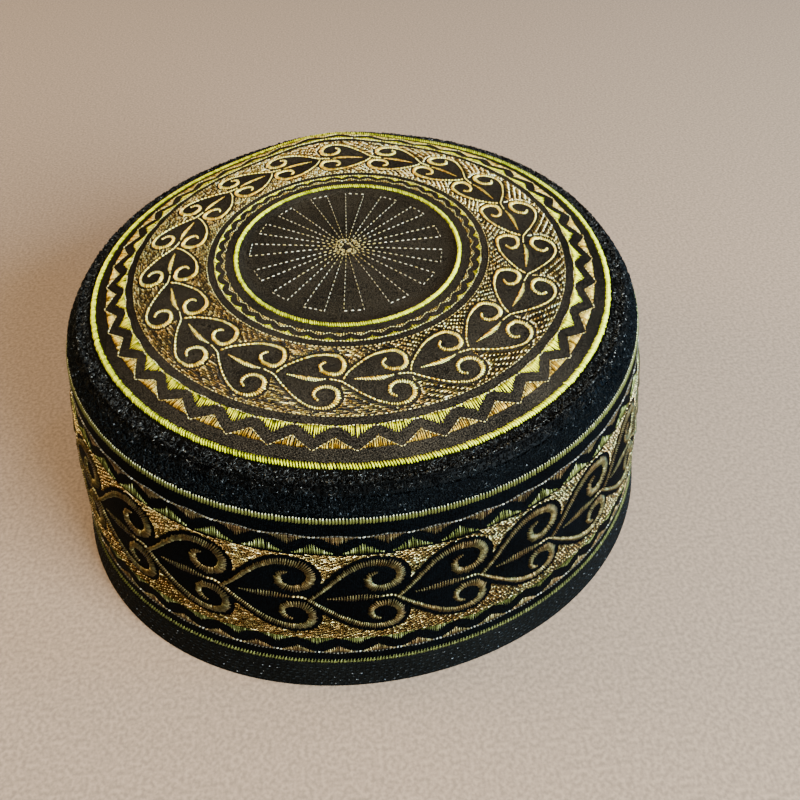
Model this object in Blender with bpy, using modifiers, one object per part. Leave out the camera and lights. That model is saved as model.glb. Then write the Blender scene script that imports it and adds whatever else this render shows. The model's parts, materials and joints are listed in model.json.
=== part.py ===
# Embroidered prayer cap: a stiff round cap with a slightly domed crown, standing on its rim.
# The crown, its overcast seam, the side with its rounded shoulder and the hem are cloth walls.
# Four raised satin borders lie on them. Sizes are in millimetres and the scene is in metres,
# with +Z up and the rim on the plane Z = 0. The camera of the photograph is on the -Y side.

import math

import bpy

MM = 0.001

# Driving sizes
RIM_RADIUS = 94.5       # outside of the hem, for a head of size 57
CROWN_RADIUS = 73.4     # middle of the satin border at the crown's edge
CAP_HEIGHT = 85.9       # crown's middle above the surface
BAND_TOP = 69.2         # middle of the side's upper border
WALL = 2.4              # stiffened cloth of the crown and the side
HEM_WALL = 3.0
HEM_HEIGHT = 10.4
GAP = 0.3               # between sewn pieces
SEAM_BULGE = 0.9        # how far the overcast seam stands off the cloth
TRIM_GAP = 0.15         # between a border and the cloth under it
TRIM_HEIGHT = 0.7
FACETS = 80             # round the cap

# The outside of the crown, from its middle to the seam. The medallion lies a little
# lower than the border round it.
CROWN_LINE = [
    # radius, height
    (0.0, CAP_HEIGHT - 0.5),
    (16.0, CAP_HEIGHT - 0.6),
    (30.2, CAP_HEIGHT - 1.0),
    (31.2, CAP_HEIGHT - 0.5),
    (40.6, CAP_HEIGHT - 0.6),
    (52.0, CAP_HEIGHT - 1.7),
    (60.0, CAP_HEIGHT - 2.9),
    (66.5, CAP_HEIGHT - 4.5),
    (CROWN_RADIUS, CAP_HEIGHT - 7.2),
    (76.6, CAP_HEIGHT - 8.5),
]
SEAM_START = (76.9, CAP_HEIGHT - 8.7)
SEAM_END = (80.2, CAP_HEIGHT - 10.9)

# The outside of the side, from the seam over the shoulder down to the hem
SIDE_LINE = [
    # radius, height
    (80.45, CAP_HEIGHT - 11.2),
    (81.6, CAP_HEIGHT - 12.6),
    (82.6, CAP_HEIGHT - 14.4),
    (83.3, BAND_TOP),
    (84.2, 64.0),
    (86.6, 52.0),
    (89.0, 38.0),
    (90.6, 24.0),
    (92.0, HEM_HEIGHT + GAP),
]

# The hem, whose flat underside carries the cap
HEM_LINE = [
    # radius, height
    (91.8, HEM_HEIGHT),
    (92.4, HEM_HEIGHT - 0.6),
    (93.4, 5.2),
    (RIM_RADIUS - 0.3, 1.4),
    (RIM_RADIUS, 0.5),
    (RIM_RADIUS - 0.5, 0.0),
]

# The satin borders: the line each lies on, where, and its width along the cloth
CROWN_BORDERS = [
    # name, radius, width
    ("medallion_ring", 32.3, 1.7),
    ("crown_ring", CROWN_RADIUS, 1.7),
]
SIDE_BORDERS = [
    # name, height, width
    ("upper_band_ring", BAND_TOP, 2.1),
    ("lower_band_ring", 12.3, 1.9),
]

# How far the settled cloth stands off a true round: a share of the radius for each number
# of lobes, and the azimuth of the first one
CROWN_LOBES = [
    # lobes, share, azimuth in degrees
    (2, 0.0094, -62.9),
    (3, 0.0188, -19.3),
]
RIM_LOBES = [
    # lobes, share, azimuth in degrees
    (2, 0.0159, 37.9),
    (3, 0.0194, -28.8),
]
CROWN_LIFTS = [
    # lobes, lift at the crown's edge, azimuth in degrees
    (1, 0.46, 90.0),
    (2, 2.54, 22.9),
]
BACK_BULGE = {"lift": 3.2, "radius": 68.0, "spread": 12.0, "azimuth": 93.0, "turn": 17.0}
RIM_MIDDLE = (-0.06, 1.82)   # middle of the rim's outline, seen from the crown's middle

COLOURS = {
    # name: red, green, blue, roughness, sheen
    "crown_panel": (0.030, 0.024, 0.020, 0.85, 0.4),
    "crown_seam": (0.010, 0.010, 0.011, 0.90, 0.6),
    "side_band": (0.012, 0.013, 0.016, 0.85, 0.4),
    "hem_binding": (0.011, 0.012, 0.014, 0.85, 0.4),
    "medallion_ring": (0.560, 0.600, 0.120, 0.40, 0.3),
    "crown_ring": (0.560, 0.600, 0.120, 0.40, 0.3),
    "upper_band_ring": (0.470, 0.520, 0.120, 0.40, 0.3),
    "lower_band_ring": (0.470, 0.520, 0.120, 0.40, 0.3),
}


def waves(rows, azimuth):
    """Sum of the lobes in a table, at an azimuth in radians."""
    return sum(size * math.cos(lobes * (azimuth - math.radians(start)))
               for lobes, size, start in rows)


def settled(x, y, z):
    """Where a point of the true round cap lies on the settled cap, in millimetres."""
    radius = math.hypot(x, y)
    azimuth = math.atan2(y, x)
    inward = min(radius / CROWN_RADIUS, 1.0)
    down = min(max(1.0 - z / BAND_TOP, 0.0), 1.0)
    share = inward * (1.0 - down) * waves(CROWN_LOBES, azimuth) + down * waves(RIM_LOBES, azimuth)
    lift = inward ** 2 * (1.0 - down) ** 0.7 * waves(CROWN_LIFTS, azimuth)
    turn = math.remainder(azimuth - math.radians(BACK_BULGE["azimuth"]), math.tau)
    if z > BAND_TOP - 10.0:
        lift += (BACK_BULGE["lift"] * math.exp(-(turn / math.radians(BACK_BULGE["turn"])) ** 2)
                 * math.exp(-((radius - BACK_BULGE["radius"]) / BACK_BULGE["spread"]) ** 2)
                 * min((z - BAND_TOP + 10.0) / 8.0, 1.0))
    scale = 1.0 + share
    return x * scale - RIM_MIDDLE[0], y * scale - RIM_MIDDLE[1], z + lift


def across(start, end):
    """Unit vector out of the cloth, for a line that runs outward and down."""
    along = (end[0] - start[0], end[1] - start[1])
    length = math.hypot(*along)
    return -along[1] / length, along[0] / length


def stepped_off(line, distance):
    """The line moved into the cloth by a distance, each point along its own normal."""
    moved = []
    for index, (radius, height) in enumerate(line):
        before = line[max(index - 1, 0)]
        after = line[min(index + 1, len(line) - 1)]
        out = across(before, after)
        if radius == 0.0:
            out = (0.0, 1.0)
        moved.append((radius - out[0] * distance, height - out[1] * distance))
    return moved


def shell_section(line, wall):
    """Section of a cloth wall: its outside from the top down, then its inside back up."""
    return line + stepped_off(line, wall)[::-1]


def seam_section():
    """Section of the overcast seam: a bulge over the join, as deep as the cloth beside it."""
    out = across(SEAM_START, SEAM_END)
    outside = []
    for step in range(7):
        part = step / 6.0
        bulge = SEAM_BULGE * math.sin(math.pi * part) ** 0.6 if 0 < step < 6 else 0.0
        radius = SEAM_START[0] + part * (SEAM_END[0] - SEAM_START[0]) + bulge * out[0]
        height = SEAM_START[1] + part * (SEAM_END[1] - SEAM_START[1]) + bulge * out[1]
        outside.append((radius, height))
    ends = (
        (SEAM_END, across(SIDE_LINE[0], SIDE_LINE[1])),
        (SEAM_START, across(CROWN_LINE[-2], CROWN_LINE[-1])),
    )
    inside = [(point[0] - face[0] * WALL, point[1] - face[1] * WALL) for point, face in ends]
    return outside + inside


def border_section(line, column, value, width):
    """Section of a satin border: a low arch just clear of the cloth under it.

    column is 0 where the border is placed by its radius and 1 where by its height.
    """
    for start, end in zip(line, line[1:]):
        if min(start[column], end[column]) <= value <= max(start[column], end[column]):
            part = (value - start[column]) / (end[column] - start[column])
            out = across(start, end)
            break
    middle = [start[axis] + part * (end[axis] - start[axis]) for axis in (0, 1)]
    along = (out[1], -out[0])
    section = []
    for place in (-0.5, -0.25, 0.0, 0.25, 0.5):
        arch = TRIM_GAP + TRIM_HEIGHT * (1.0 - (2.0 * place) ** 2) ** 0.5
        section.append(tuple(middle[axis] + place * width * along[axis] + arch * out[axis]
                             for axis in (0, 1)))
    return section


def material(name):
    red, green, blue, roughness, sheen = COLOURS[name]
    made = bpy.data.materials.new(name)
    made.use_nodes = True
    surface = made.node_tree.nodes["Principled BSDF"]
    surface.inputs["Base Color"].default_value = (red, green, blue, 1.0)
    surface.inputs["Roughness"].default_value = roughness
    surface.inputs["Metallic"].default_value = 0.0
    surface.inputs["Sheen Weight"].default_value = sheen
    made.diffuse_color = (red, green, blue, 1.0)
    return made


def turned(name, section, closed, collection):
    """Turn a section round the Z axis, then let the result settle as the cloth does."""
    points = [(radius * MM, 0.0, height * MM) for radius, height in section]
    edges = [(index, index + 1) for index in range(len(points) - 1)]
    if closed:
        edges.append((len(points) - 1, 0))
    profile = bpy.data.meshes.new(name + "_profile")
    profile.from_pydata(points, edges, [])
    piece = bpy.data.objects.new(name, profile)
    collection.objects.link(piece)
    screw = piece.modifiers.new("turn", "SCREW")
    screw.axis = "Z"
    screw.angle = math.tau
    screw.steps = FACETS
    screw.render_steps = FACETS
    screw.use_merge_vertices = True
    screw.merge_threshold = 0.00001
    screw.use_smooth_shade = True
    bpy.context.view_layer.update()
    graph = bpy.context.evaluated_depsgraph_get()
    solid = bpy.data.meshes.new_from_object(piece.evaluated_get(graph))
    piece.modifiers.clear()
    piece.data = solid
    bpy.data.meshes.remove(profile)
    solid.name = name
    for vertex in solid.vertices:
        placed = settled(*(length / MM for length in vertex.co))
        vertex.co = [length * MM for length in placed]
    solid.materials.clear()
    solid.materials.append(material(name))
    return piece


def build():
    for item in list(bpy.data.objects):
        bpy.data.objects.remove(item, do_unlink=True)
    collection = bpy.data.collections.new("prayer_cap")
    bpy.context.scene.collection.children.link(collection)

    turned("crown_panel", shell_section(CROWN_LINE, WALL), False, collection)
    turned("crown_seam", seam_section(), True, collection)
    turned("side_band", shell_section(SIDE_LINE, WALL), True, collection)

    hem_inside = [
        (RIM_RADIUS - HEM_WALL + 0.3, 0.0),
        (RIM_RADIUS - HEM_WALL, 0.4),
        (91.8 - HEM_WALL, HEM_HEIGHT),
    ]
    turned("hem_binding", HEM_LINE + hem_inside, True, collection)

    for name, radius, width in CROWN_BORDERS:
        turned(name, border_section(CROWN_LINE, 0, radius, width), True, collection)
    for name, height, width in SIDE_BORDERS:
        turned(name, border_section(SIDE_LINE, 1, height, width), True, collection)


build()
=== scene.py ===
import json
import math

import bmesh
import bpy
import numpy as np
from mathutils import Euler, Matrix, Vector

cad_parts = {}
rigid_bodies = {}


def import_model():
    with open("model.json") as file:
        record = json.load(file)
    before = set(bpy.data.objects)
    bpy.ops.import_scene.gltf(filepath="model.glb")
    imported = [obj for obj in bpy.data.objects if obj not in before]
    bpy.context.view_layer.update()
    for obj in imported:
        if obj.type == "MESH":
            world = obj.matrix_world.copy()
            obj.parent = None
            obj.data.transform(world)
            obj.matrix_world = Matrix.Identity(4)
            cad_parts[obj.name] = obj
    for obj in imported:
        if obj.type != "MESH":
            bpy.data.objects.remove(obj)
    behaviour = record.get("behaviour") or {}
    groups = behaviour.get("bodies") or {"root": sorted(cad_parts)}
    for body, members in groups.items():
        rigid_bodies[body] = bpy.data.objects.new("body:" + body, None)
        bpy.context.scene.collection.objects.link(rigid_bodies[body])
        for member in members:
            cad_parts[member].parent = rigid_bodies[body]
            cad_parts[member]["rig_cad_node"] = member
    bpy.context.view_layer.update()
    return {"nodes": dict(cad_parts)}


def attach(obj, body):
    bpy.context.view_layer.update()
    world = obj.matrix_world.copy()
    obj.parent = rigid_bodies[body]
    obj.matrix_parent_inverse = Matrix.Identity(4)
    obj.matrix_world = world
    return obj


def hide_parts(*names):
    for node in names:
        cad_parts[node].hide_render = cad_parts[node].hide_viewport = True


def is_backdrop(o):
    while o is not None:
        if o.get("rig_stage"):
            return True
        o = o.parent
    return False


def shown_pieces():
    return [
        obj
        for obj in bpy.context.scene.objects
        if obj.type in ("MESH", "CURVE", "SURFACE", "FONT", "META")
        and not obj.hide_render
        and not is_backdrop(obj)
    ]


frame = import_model()
mm = 0.001
print("frame loaded with", len(frame["nodes"]), "nodes")

# The settled cap. Levels are millimetres: a radius on the crown, a height on the side.
capShape = {
    "crownRadius": 73.4,
    "bandTop": 69.2,
    "wall": 2.4,
    "turns": 240,
    "insideRows": 16,
    "wallRadius": 85,     # for the cloth's map
    "sewnRadius": 75,     # for the unevenness of the sewing
    "crownLobes": [(2, 0.0094, -62.9), (3, 0.0188, -19.3)],     # lobes, share, azimuth
    "rimLobes": [(2, 0.0159, 37.9), (3, 0.0194, -28.8)],
    "crownLifts": [(1, 0.46, 90), (2, 2.54, 22.9)],           # lobes, lift, azimuth
    "backBulge": {"lift": 3.2, "radius": 68, "spread": 12, "azimuth": 93, "turn": 17},
    "rimMiddle": (-0.06, 1.82),
}


def waves(rows, azimuth):
    return sum((size * np.cos(lobes * (azimuth - math.radians(start))) for lobes, size, start in rows),
               0 * azimuth)


def hump(away, spread):
    return np.exp(-(away / spread) ** 2)


def polar(points):
    return np.arctan2(points[..., 1], points[..., 0]), np.hypot(points[..., 0], points[..., 1])


def columns(*values):
    # a table from its columns, where a lone number fills a whole column
    return np.stack(np.broadcast_arrays(*values), 1)


def settled(points):
    # from the true round cap to the settled one, both in millimetres
    x, y, z = points[..., 0], points[..., 1], points[..., 2]
    azimuth, radius = polar(points)
    inward = np.minimum(radius / capShape["crownRadius"], 1)
    down = np.clip(1 - z / capShape["bandTop"], 0, 1)
    share = inward * (1 - down) * waves(capShape["crownLobes"], azimuth)
    share = share + down * waves(capShape["rimLobes"], azimuth)
    lift = inward ** 2 * (1 - down) ** 0.7 * waves(capShape["crownLifts"], azimuth)
    bulge = capShape["backBulge"]
    turn = np.angle(np.exp(1j * (azimuth - math.radians(bulge["azimuth"]))))
    near = np.clip((z - capShape["bandTop"] + 10) / 8, 0, 1)
    lift = lift + (bulge["lift"] * hump(turn, math.radians(bulge["turn"]))
                   * hump(radius - bulge["radius"], bulge["spread"]) * near)
    middle = capShape["rimMiddle"]
    return np.stack([x * (1 + share) - middle[0], y * (1 + share) - middle[1], z + lift], -1)


def softened(line, rounds=2):
    # a drawn line with its corners cut, ends kept
    points = np.array(line, float)
    for _ in range(rounds):
        near = points[:-1] * 0.75 + points[1:] * 0.25
        far = points[:-1] * 0.25 + points[1:] * 0.75
        points = np.concatenate([points[:1], np.stack([near, far], 1).reshape(-1, 2), points[-1:]])
    return points


def outOf(line):
    # unit vectors out of the cloth, for a line that runs outward and down
    step = np.gradient(line, axis=0)
    return columns(-step[:, 1], step[:, 0]) / np.hypot(step[:, 0], step[:, 1])[:, None]


def runAlong(line):
    return np.concatenate([[0], np.cumsum(np.hypot(*np.diff(line, axis=0).T))])


def clothFrom(line, level, drift=None):
    # a line ready to be asked for its place at a level, with the drift of what is sewn on it
    order = np.argsort(level)
    return {"level": level[order], "line": line[order], "out": outOf(line)[order], "drift": drift}


def onCloth(cloth, azimuth, level, lift=0):
    place = [np.interp(level, cloth["level"], cloth["line"][:, axis])
             + lift * np.interp(level, cloth["level"], cloth["out"][:, axis]) for axis in (0, 1)]
    return settled(columns(place[0] * np.cos(azimuth), place[0] * np.sin(azimuth), place[1]))


# How far the embroidery has drifted on the settled cloth. Turns are in degrees, rises in
# millimetres, and each has a steady part and lobes like the shape's own.
crownDrift = [
    # level, turn, its lobes, rise, its lobes
    (36, -0.27, [(1, 0.64, 161.5), (2, 0.4, 88.9), (3, 0.5, -38.5)], 0.3, [(2, 0.27, -88.8)]),
    (52, 0.22, [(1, 0.82, 106), (2, 0.39, -80.5), (3, 0.47, -50.2)],
     -0.31, [(1, 0.22, -95), (2, 0.27, -86.7), (3, 0.21, -36.5)]),
    (68, -0.34, [(1, 0.94, 175.2), (2, 1.07, -49.3), (3, 0.56, -46.6)], -0.04, [(1, 0.41, -69.7)]),
]
sideDrift = [(level, -0.21, [(1, 0.84, 175.9), (2, 0.72, -66.1)], rise, [])
             for level, rise in ((17, -0.6), (40, 0.25), (60, 0.45))]

crownLine = softened([
    (0, 85.2), (16, 85.1), (29.6, 84.7), (31, 85.3), (40.6, 85.3), (52, 84.2),
    (60, 83), (66.5, 81.4), (73.4, 78.7), (76.6, 77.4)])
sideLine = softened([
    (80.45, 74.7), (81.6, 73.3), (82.6, 71.5), (83.3, 69.2), (84.2, 64), (86.6, 52),
    (89, 38), (90.6, 24), (92, 10.7)])
crownTop = clothFrom(crownLine, crownLine[:, 0], crownDrift)
sideFace = clothFrom(sideLine, sideLine[:, 1], sideDrift)


def drifted(drift, azimuth, level):
    levels = [row[0] for row in drift]
    turns = np.array([np.radians(turn + waves(lobes, azimuth)) for _, turn, lobes, _, _ in drift])
    rises = np.array([rise + waves(lobes, azimuth) for _, _, _, rise, lobes in drift])
    share = np.clip(np.interp(level, levels, range(len(levels))), 0, len(levels) - 1.001)
    below = share.astype(int)
    part = share - below
    each = np.arange(len(level))
    turn = turns[below, each] * (1 - part) + turns[below + 1, each] * part
    rise = rises[below, each] * (1 - part) + rises[below + 1, each] * part
    return azimuth + turn, level + rise


def linked(name, mesh):
    piece = bpy.data.objects.new(name, mesh)
    bpy.context.scene.collection.objects.link(piece)
    return piece


def valuesOf(parts, key, kind, each=1):
    values = np.empty(len(parts) * each, kind)
    parts.foreach_get(key, values)
    return values


def mapOn(mesh, name, along, across):
    laid = columns(along, across).astype(np.float32)
    mesh.uv_layers.new(name=name).data.foreach_set("uv", laid.ravel())


def turnedCloth(name, section, closed, finish, node):
    # a section of (radius, height) rows spun into a wall, then settled
    shape = bmesh.new()
    row = [shape.verts.new((radius, 0, height)) for radius, height in section]
    edges = [shape.edges.new(pair) for pair in zip(row, row[1:])]
    if closed:
        edges.append(shape.edges.new((row[-1], row[0])))
    bmesh.ops.spin(shape, geom=row + edges, cent=(0, 0, 0), axis=(0, 0, 1), dvec=(0, 0, 0),
                   angle=math.tau, steps=capShape["turns"], use_merge=True, use_duplicate=False)
    bmesh.ops.remove_doubles(shape, verts=shape.verts[:], dist=0.001)
    bmesh.ops.recalc_face_normals(shape, faces=shape.faces[:])
    mesh = bpy.data.meshes.new(name)
    shape.to_mesh(mesh)
    shape.free()
    points = valuesOf(mesh.vertices, "co", float, 3).reshape(-1, 3)
    layRound(mesh, points, section)
    mesh.vertices.foreach_set("co", (settled(points) * mm).ravel())
    mesh.shade_smooth()
    mesh.update()
    mesh.materials.append(finishes[finish])
    piece = linked(name, mesh)
    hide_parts(node)


def layRound(mesh, points, section):
    # the cloth's own map: millimetres round the cap and millimetres along the section
    turn, radius = polar(points)
    nearest = np.argmin(np.abs(radius[:, None] - section[:, 0]) + np.abs(points[:, 2:] - section[:, 1]), 1)
    corners = valuesOf(mesh.loops, "vertex_index", np.int32)
    starts = valuesOf(mesh.polygons, "loop_start", np.int32)
    first = np.repeat(turn[corners[starts]], valuesOf(mesh.polygons, "loop_total", np.int32))
    around = first + np.angle(np.exp(1j * (turn[corners] - first)))
    mapOn(mesh, "clothMap", around * capShape["wallRadius"], runAlong(section)[nearest[corners]])


def wallSection(line):
    # the outside of a wall from the top down, then a plainer inside back up
    inside = (line - outOf(line) * capShape["wall"])[::-1]
    inside = inside[np.linspace(0, len(inside) - 1, capShape["insideRows"]).round().astype(int)]
    if line[0, 0] == 0:
        inside[-1, 0] = 0
    return np.concatenate([line, inside])


# Stitches: one closed thread along X, copied as arrays to where each stitch lies

def threadForm(rings):
    # rings: place along the stitch, girth, lift, tone, where the tone is an offset that paints shade and
    # highlight along the stitch
    form = bmesh.new()
    bmesh.ops.create_circle(form, cap_ends=True, segments=3, radius=1)
    top = max(vert.co.y for vert in form.verts)
    low = min(vert.co.y for vert in form.verts)
    wide = max(vert.co.x for vert in form.verts)
    face = form.faces[:]
    rows = [form.verts[:]]
    for index in range(1, len(rings)):
        grown = bmesh.ops.extrude_face_region(form, geom=face)["geom"]
        if index > 1:
            bmesh.ops.delete(form, geom=face, context="FACES_ONLY")    # else it is left inside
        face = [part for part in grown if isinstance(part, bmesh.types.BMFace)]
        rows.append(face[0].verts[:])
        bmesh.ops.translate(form, verts=rows[-1], vec=(0, 0, 1))
    for (along, girth, lift, _), row in zip(rings, rows):
        for vert in row:
            across, up = vert.co.x / wide / 2, (vert.co.y - low) / (top - low)
            vert.co = (along, across * girth, up * girth + lift)
    bmesh.ops.triangulate(form, faces=form.faces[:])
    bmesh.ops.recalc_face_normals(form, faces=form.faces[:])
    form.verts.index_update()
    points = np.array([vert.co[:] for vert in form.verts])
    made = {"points": points, "tone": np.interp(points[:, 0], [row[0] for row in rings],
                                                [row[3] for row in rings]),
            "faces": np.array([[vert.index for vert in face.verts] for face in form.faces])}
    form.free()
    return made


flatThread = threadForm([(0, 0.5, -0.5, -0.15), (0.2, 1, 0, 0), (0.8, 1, 0, 0),
                         (1, 0.5, -0.5, -0.15)])
fleckThread = threadForm([(0, 0.4, -0.4, -0.35), (0.4, 1, 0, 0.1), (1, 0.4, -0.4, -0.25)])
furThread = threadForm([(0, 1, -0.4, -0.12), (1, 0.35, 0.2, 0.1)])
# the ground's long stitches carry a painted highlight at the end where the needle went through, and painted
# shade towards the other end
fillThread = threadForm([(0, 0.8, -0.5, 0.28), (0.12, 1.05, 0.12, 0.42), (0.24, 1, 0, -0.03),
                         (1, 0.8, -0.5, -0.32)])
ringThread = threadForm([(0, 0.8, -0.9, -0.5), (0.16, 0.95, -0.32, -0.15), (0.5, 1, 0, 0.1),
                         (0.84, 0.95, -0.32, -0.15), (1, 0.8, -0.9, -0.5)])
# the satin of the hearts is open at its outer edge, where each stitch starts, and painted darker there as
# shade, with a painted highlight towards its inner end
archThread = threadForm([(0, 0.5, -0.9, -0.45), (0.14, 0.95, -0.32, -0.16), (0.5, 1.28, 0, 0),
                         (0.86, 1.28, -0.28, 0.1), (1, 1.05, -0.9, 0.24)])
# combs are closed at their base and open into teeth, with painted shade at the base and a painted highlight
# on the teeth
combThread = threadForm([(0, 1.3, -0.5, -0.3), (0.3, 1.25, -0.1, -0.12), (0.5, 0.72, 0, 0.1),
                         (1, 0.4, -0.4, 0.2)])
# and the side's borders end in a small tip with a painted highlight
tipThread = threadForm([(0, 0.8, -0.6, -0.36), (0.12, 1.38, -0.2, -0.18), (0.6, 1.38, -0.2, -0.1),
                        (0.76, 0.78, 0.1, 0), (0.88, 0.6, 0.2, 0.3), (1, 0.4, -0.2, 0.4)])


def sewn(name, cloth, rows, form, finish):
    # rows: start azimuth, start level, end azimuth, end level, width, rise, tone
    startTurn, startLevel, endTurn, endLevel, width, rise, tone = np.asarray(rows, float).T
    if cloth["drift"]:
        startTurn, startLevel = drifted(cloth["drift"], startTurn, startLevel)
        endTurn, endLevel = drifted(cloth["drift"], endTurn, endLevel)
    start = onCloth(cloth, startTurn, startLevel)
    end = onCloth(cloth, endTurn, endLevel)
    middle = ((startTurn + endTurn) / 2, (startLevel + endLevel) / 2)
    up = onCloth(cloth, *middle, 1) - onCloth(cloth, *middle)
    up /= np.linalg.norm(up, axis=1)[:, None]
    along = end - start
    across = np.cross(up, along)
    across /= np.linalg.norm(across, axis=1)[:, None]
    part = form["points"]
    points = (start[:, None] + part[None, :, :1] * along[:, None]
              + part[None, :, 1:2] * (width[:, None, None] * across[:, None])
              + part[None, :, 2:] * (rise[:, None, None] * up[:, None]))
    count, size = len(start), len(part)
    faces = (form["faces"][None] + (np.arange(count) * size)[:, None, None]).reshape(-1, 3)
    mesh = bpy.data.meshes.new(name)
    mesh.from_pydata(points.reshape(-1, 3) * mm, [], faces)
    # each stitch's own tone, with its form's painted shade and highlight added along it
    tones = np.clip(tone[:, None] + form["tone"], 0, 1)
    mesh.attributes.new("tone", "FLOAT", "POINT").data.foreach_set(
        "value", tones.astype(np.float32).ravel())
    run = (part[:, 0] * np.linalg.norm(along, axis=1)[:, None]).ravel()
    side = (part[:, 1] * width[:, None]).ravel()
    mapOn(mesh, "threadMap", run[faces.ravel()], side[faces.ravel()])
    mesh.shade_smooth()
    mesh.materials.append(finishes[finish])
    print(name, count, "stitches,", len(faces), "triangles")
    return linked(name, mesh)


def flowing(rows, spacing):
    # a smooth line through (x, y, width) rows, at an even spacing
    rows = np.array(rows, float)
    padded = np.concatenate([2 * rows[:1] - rows[1:2], rows, 2 * rows[-1:] - rows[-2:-1]])
    share = np.linspace(0, 1, 8, endpoint=False)[:, None]
    spans = []
    for before, start, end, after in zip(padded, padded[1:], padded[2:], padded[3:]):
        spans.append(0.5 * (2 * start + (end - before) * share
                            + (2 * before - 5 * start + 4 * end - after) * share ** 2
                            + (3 * start - before - 3 * end + after) * share ** 3))
    fine = np.concatenate(spans + [rows[-1:]])
    run = runAlong(fine[:, :2])
    places = np.linspace(0, run[-1], max(int(round(run[-1] / spacing)), 1) + 1)
    return np.stack([np.interp(places, run, fine[:, column]) for column in range(3)], 1)


satin = {"thickness": 0.74, "endWobble": (0.16, 0.06), "threadWidth": 0.34, "threadShare": 0.93,
         "shortest": 0.45}


def satinAlong(rows, outer, pitch, slant, rise, thin, tones, chance):
    # stitches across a line, from its outer side, or along it where it is thinner than thin
    line = flowing(rows, pitch)
    tangent = np.gradient(line[:, :2], axis=0)
    tangent /= np.hypot(*tangent.T)[:, None]
    half = line[:, 2:] / 2
    reach = (columns(-tangent[:, 1], tangent[:, 0]) + tangent * slant) * outer * half
    wobble = 1 + satin["endWobble"] * chance.standard_normal((len(line), 2))
    start = line[:, :2] + reach * wobble[:, :1]
    end = line[:, :2] - reach * wobble[:, 1:]
    tone = chance.uniform(*tones, len(line))
    across = line[:, 2] >= thin
    made = [(*start[index], *end[index], pitch * satin["thickness"], rise * min(1, 0.5 + half[index, 0]),
             tone[index]) for index in np.flatnonzero(across)]
    dash = max(int(round(1 / pitch)), 1)
    for index in np.flatnonzero(~across)[::dash]:
        first, last = line[index], line[min(index + dash, len(line) - 1)]
        if index < len(line) - 1:
            made.append((*first[:2], *(first + (last - first) * satin["threadShare"])[:2],
                         max(first[2], satin["threadWidth"]), satin["threadWidth"], tone[index]))
    return made


def repeated(rows, heart):
    # one motif's rows, in millimetres from its tip, laid round the cap
    rows = np.asarray(rows, float)
    turns = math.radians(heart["first"]) + np.arange(heart["count"]) * math.tau / heart["count"]
    laid = np.repeat(rows[None], heart["count"], 0)
    laid[..., (0, 2)] = laid[..., (0, 2)] / heart["radius"] + turns[:, None, None]
    laid[..., (1, 3)] += heart["level"]
    return laid.reshape(-1, rows.shape[1])


def shaken(rows, amount, toneAmount, chance):
    # a hand's unevenness, in radians round the cap and millimetres across it
    rows = np.array(rows, float)
    rows[:, :4] += chance.normal(0, amount, (len(rows), 4)) / ([capShape["sewnRadius"], 1] * 2)
    rows[:, 4] *= 1 + 0.08 * chance.standard_normal(len(rows))
    rows[:, 6] = np.clip(rows[:, 6] + chance.normal(0, toneAmount, len(rows)), 0, 1)
    return rows


def paintedSparkles(rows, every):
    # painted glints: now and then a fibre is made short and thin and coloured bright, as if it caught the
    # light
    few = rows[::every]
    few[:, 6] = 1 - 0.22 * (np.arange(len(few)) * 0.618 % 1)
    few[:, :2] += 0.3 * (few[:, 2:4] - few[:, :2])
    few[:, 2:4] -= 0.3 * (few[:, 2:4] - few[:, :2])
    few[:, 4] = 0.24


def edgeDistance(points, rows):
    # millimetres from points to a drawn line's own edge
    rows = np.array(rows, float)
    start, step = rows[:-1], np.diff(rows, axis=0)
    away = points[:, None] - start[None, :, :2]
    share = np.clip((away * step[None, :, :2]).sum(2) / (step[:, :2] ** 2).sum(1), 0, 1)
    gap = np.hypot(*np.moveaxis(away - share[..., None] * step[None, :, :2], 2, 0))
    return (gap - (start[:, 2] + share * step[:, 2]) / 2).min(1)


def within(points, ring):
    ring = np.array(ring, float)
    inside = np.zeros(len(points), bool)
    for (ax, ay), (bx, by) in zip(ring, np.roll(ring, -1, axis=0)):
        if ay == by:
            continue
        crosses = (ay > points[:, 1]) != (by > points[:, 1])
        inside ^= crosses & (points[:, 0] < (bx - ax) * (points[:, 1] - ay) / (by - ay) + ax)
    return inside


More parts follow.
